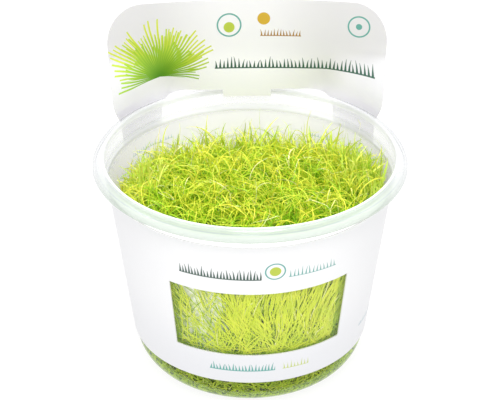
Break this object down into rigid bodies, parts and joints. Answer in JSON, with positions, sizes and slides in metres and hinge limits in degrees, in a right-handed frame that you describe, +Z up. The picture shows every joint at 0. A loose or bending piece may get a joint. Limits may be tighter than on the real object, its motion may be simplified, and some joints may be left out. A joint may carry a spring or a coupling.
{
  "type": "grassleaf bladderwort tissue culture cup",
  "caption": "Clear round plant tub filled with a dense mat of fine grass-like leaves, in a white card sleeve with a window and a tall header behind the rim.",
  "frame": {"origin": "middle of the tub's flat underside, where it stands", "axes": "+Z up; -Y is the front with the window, +Y is the back with the header card; +X to the right seen from the front"},
  "size_m": [0.1, 0.1, 0.1072],
  "materials": {
    "tub": "clear injection-moulded polypropylene, smooth and slightly milky",
    "sleeve": "white coated card, satin",
    "mat": "bright yellow-green grass-like leaves, moist",
    "leaf": "fresh yellow-green leaf, slightly shiny"
  },
  "bodies": {
    "root": {"tub": "tub", "sleeve": "sleeve", "bladderwort_mat": "mat", "leaf_01": "leaf", "leaf_02": "leaf", "leaf_03": "leaf", "leaf_04": "leaf", "leaf_05": "leaf", "leaf_06": "leaf", "leaf_07": "leaf", "leaf_08": "leaf", "leaf_09": "leaf", "leaf_10": "leaf", "leaf_11": "leaf", "leaf_12": "leaf", "leaf_13": "leaf", "leaf_14": "leaf", "leaf_15": "leaf", "leaf_16": "leaf", "leaf_17": "leaf", "leaf_18": "leaf", "leaf_19": "leaf", "leaf_20": "leaf", "leaf_21": "leaf", "leaf_22": "leaf", "leaf_23": "leaf", "leaf_24": "leaf", "leaf_25": "leaf", "leaf_26": "leaf", "leaf_27": "leaf", "leaf_28": "leaf", "leaf_29": "leaf", "leaf_30": "leaf"}
  },
  "joints": []
}
